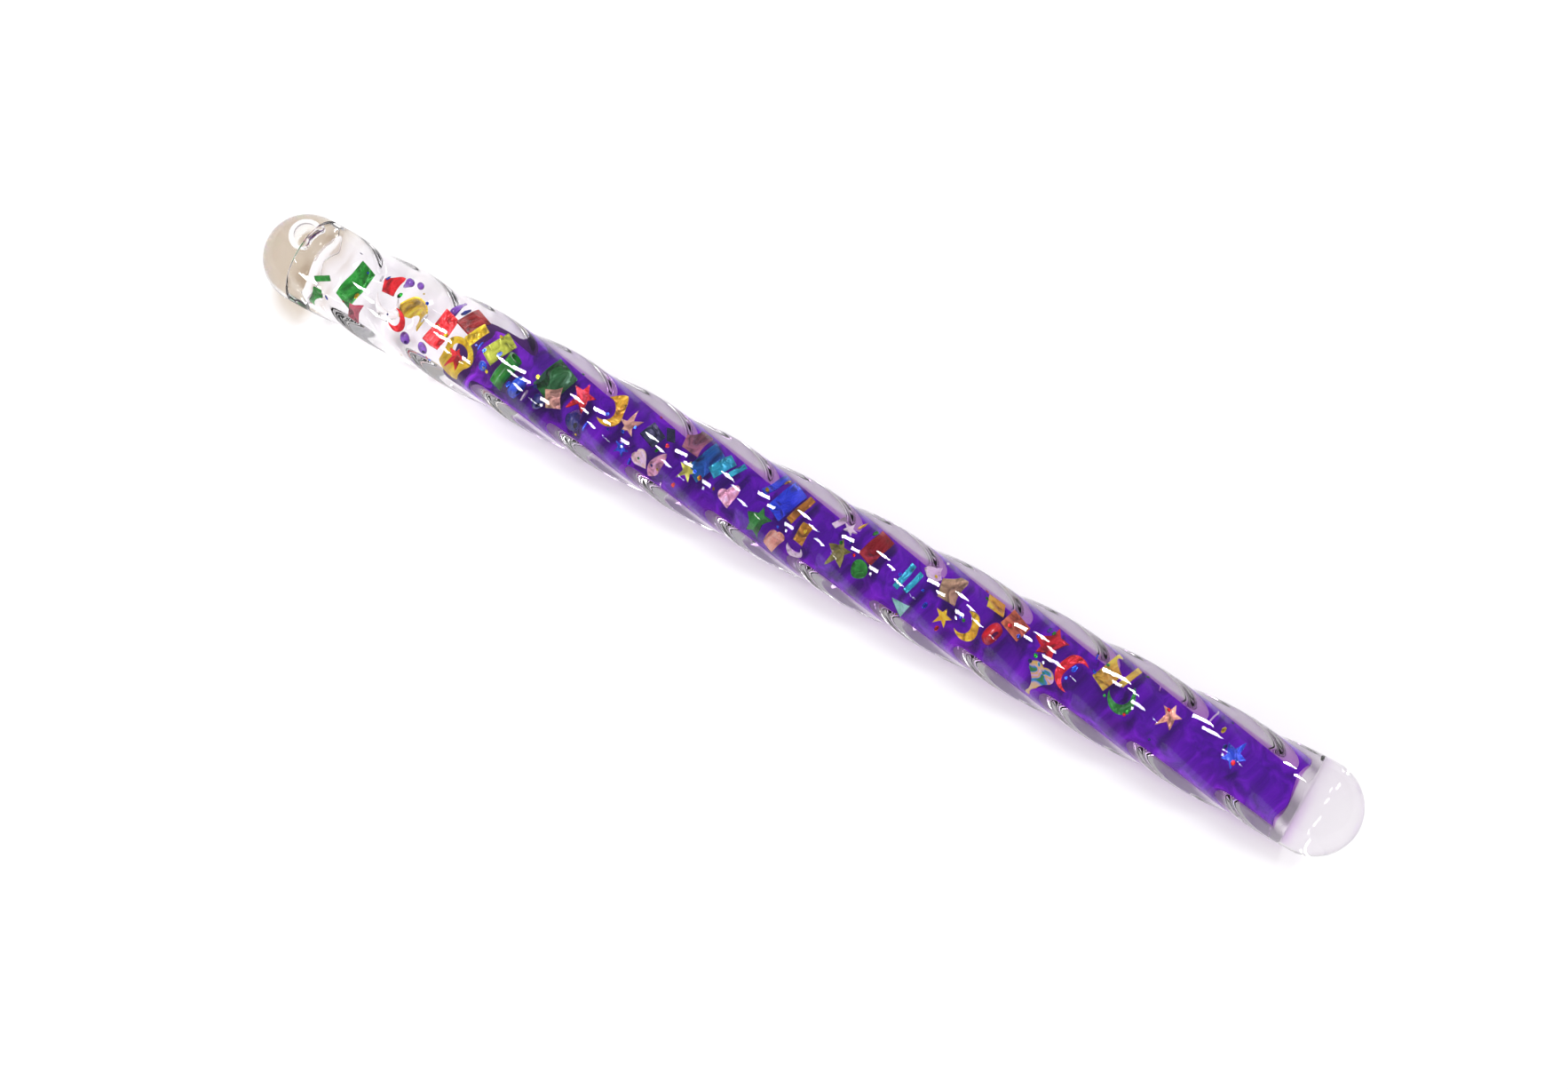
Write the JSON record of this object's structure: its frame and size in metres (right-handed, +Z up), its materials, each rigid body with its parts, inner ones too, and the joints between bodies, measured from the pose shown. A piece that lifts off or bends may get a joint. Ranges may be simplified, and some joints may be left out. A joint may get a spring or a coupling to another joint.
{
  "type": "spiral glitter wand",
  "caption": "Clear spiral-fluted wand with domed ends, filled with clear and purple oil in which foil stars, moons, hearts and squares drift; the object cell of a wand kaleidoscope.",
  "frame": {"origin": "on the wand's axis, half way along its length", "axes": "+X along the wand from the tip with the trapped bubble to the plug; +Z up with the wand lying flat"},
  "size_m": [0.165, 0.0124, 0.0124],
  "materials": {
    "clear_acrylic": "clear polished acrylic",
    "clear_cap": "clear polished acrylic",
    "purple_oil": "clear dyed mineral oil",
    "clear_oil": "clear undyed mineral oil",
    "black_foil": "foil-faced plastic confetti",
    "blue_foil": "foil-faced plastic confetti",
    "bronze_foil": "foil-faced plastic confetti",
    "cream_foil": "foil-faced plastic confetti",
    "dark_red_foil": "foil-faced plastic confetti",
    "gold_foil": "foil-faced plastic confetti",
    "green_foil": "foil-faced plastic confetti",
    "khaki_foil": "foil-faced plastic confetti",
    "lime_foil": "foil-faced plastic confetti",
    "maroon_foil": "foil-faced plastic confetti",
    "mauve_foil": "foil-faced plastic confetti",
    "mint_foil": "foil-faced plastic confetti",
    "navy_foil": "foil-faced plastic confetti",
    "olive_foil": "foil-faced plastic confetti",
    "peach_foil": "foil-faced plastic confetti",
    "pink_foil": "foil-faced plastic confetti",
    "rainbow_foil": "foil-faced plastic confetti",
    "red_foil": "foil-faced plastic confetti",
    "silver_foil": "foil-faced plastic confetti",
    "tan_foil": "foil-faced plastic confetti",
    "teal_foil": "foil-faced plastic confetti",
    "terracotta_foil": "foil-faced plastic confetti",
    "violet_foil": "foil-faced plastic confetti",
    "white_foil": "foil-faced plastic confetti",
    "yellow_foil": "foil-faced plastic confetti"
  },
  "bodies": {
    "wand": {"spiral_tube": "clear_acrylic", "tip_cap": "clear_cap", "plug_cap": "clear_cap", "dyed_oil": "purple_oil", "clear_oil": "clear_oil"},
    "drifting_glitter": {"silver_glitter": "silver_foil", "blue_glitter": "blue_foil"},
    "confetti_01": {"green_slabs_01": "green_foil", "maroon_slab_01": "maroon_foil"},
    "confetti_02": {"gold_band_02": "gold_foil", "red_pieces_02": "red_foil", "violet_beads_02": "violet_foil", "white_moon_02": "white_foil"},
    "confetti_03": {"dark_red_square_03": "dark_red_foil", "gold_ring_03": "gold_foil", "red_slab_03": "red_foil", "red_star_03": "red_foil", "violet_beads_03": "violet_foil"},
    "confetti_04": {"blue_beads_04": "blue_foil", "green_tube_04": "green_foil", "lime_slab_04": "lime_foil"},
    "confetti_05": {"green_square_05": "green_foil", "navy_beads_05": "navy_foil", "red_star_05": "red_foil", "tan_square_05": "tan_foil"},
    "confetti_06": {"blue_star_06": "blue_foil", "gold_moon_06": "gold_foil", "tan_star_06": "tan_foil"},
    "confetti_07": {"black_slabs_07": "black_foil", "cream_heart_07": "cream_foil", "pink_leaf_07": "pink_foil"},
    "confetti_08": {"lime_star_08": "lime_foil", "mauve_square_08": "mauve_foil", "pink_heart_08": "pink_foil", "teal_slabs_08": "teal_foil"},
    "confetti_09": {"blue_bars_09": "blue_foil", "bronze_bars_09": "bronze_foil", "green_star_09": "green_foil", "peach_heart_09": "peach_foil", "white_moon_09": "white_foil"},
    "confetti_10": {"dark_red_slab_10": "dark_red_foil", "green_oval_10": "green_foil", "olive_star_10": "olive_foil", "white_bars_10": "white_foil"},
    "confetti_11": {"gold_star_11": "gold_foil", "khaki_square_11": "khaki_foil", "mint_triangle_11": "mint_foil", "teal_bars_11": "teal_foil", "white_hexagon_11": "white_foil"},
    "confetti_12": {"gold_moon_12": "gold_foil", "gold_square_12": "gold_foil", "red_bead_12": "red_foil", "terracotta_square_12": "terracotta_foil"},
    "confetti_13": {"rainbow_heart_13": "rainbow_foil", "red_moon_13": "red_foil", "red_star_13": "red_foil"},
    "confetti_14": {"green_moon_14": "green_foil", "yellow_bar_14": "yellow_foil"},
    "confetti_15": {"blue_star_15": "blue_foil", "peach_star_15": "peach_foil"}
  },
  "joints": [
    {"name": "confetti_drift", "type": "slide", "parent": "wand", "child": "drifting_glitter", "axis": [1, 0, 0], "range_m": [-0.0003, 0.005], "deforming": ["dyed_oil", "clear_oil"]},
    {"name": "tumble_01", "type": "hinge", "parent": "drifting_glitter", "child": "confetti_01", "pos_m": [0, 0, 0], "axis": [1, 0, 0], "continuous": true},
    {"name": "tumble_02", "type": "hinge", "parent": "drifting_glitter", "child": "confetti_02", "pos_m": [0, 0, 0], "axis": [1, 0, 0], "continuous": true},
    {"name": "tumble_03", "type": "hinge", "parent": "drifting_glitter", "child": "confetti_03", "pos_m": [0, 0, 0], "axis": [1, 0, 0], "continuous": true},
    {"name": "tumble_04", "type": "hinge", "parent": "drifting_glitter", "child": "confetti_04", "pos_m": [0, 0, 0], "axis": [1, 0, 0], "continuous": true},
    {"name": "tumble_05", "type": "hinge", "parent": "drifting_glitter", "child": "confetti_05", "pos_m": [0, 0, 0], "axis": [1, 0, 0], "continuous": true},
    {"name": "tumble_06", "type": "hinge", "parent": "drifting_glitter", "child": "confetti_06", "pos_m": [0, 0, 0], "axis": [1, 0, 0], "continuous": true},
    {"name": "tumble_07", "type": "hinge", "parent": "drifting_glitter", "child": "confetti_07", "pos_m": [0, 0, 0], "axis": [1, 0, 0], "continuous": true},
    {"name": "tumble_08", "type": "hinge", "parent": "drifting_glitter", "child": "confetti_08", "pos_m": [0, 0, 0], "axis": [1, 0, 0], "continuous": true},
    {"name": "tumble_09", "type": "hinge", "parent": "drifting_glitter", "child": "confetti_09", "pos_m": [0, 0, 0], "axis": [1, 0, 0], "continuous": true},
    {"name": "tumble_10", "type": "hinge", "parent": "drifting_glitter", "child": "confetti_10", "pos_m": [0, 0, 0], "axis": [1, 0, 0], "continuous": true},
    {"name": "tumble_11", "type": "hinge", "parent": "drifting_glitter", "child": "confetti_11", "pos_m": [0, 0, 0], "axis": [1, 0, 0], "continuous": true},
    {"name": "tumble_12", "type": "hinge", "parent": "drifting_glitter", "child": "confetti_12", "pos_m": [0, 0, 0], "axis": [1, 0, 0], "continuous": true},
    {"name": "tumble_13", "type": "hinge", "parent": "drifting_glitter", "child": "confetti_13", "pos_m": [0, 0, 0], "axis": [1, 0, 0], "continuous": true},
    {"name": "tumble_14", "type": "hinge", "parent": "drifting_glitter", "child": "confetti_14", "pos_m": [0, 0, 0], "axis": [1, 0, 0], "continuous": true},
    {"name": "tumble_15", "type": "hinge", "parent": "drifting_glitter", "child": "confetti_15", "pos_m": [0, 0, 0], "axis": [1, 0, 0], "continuous": true}
  ]
}
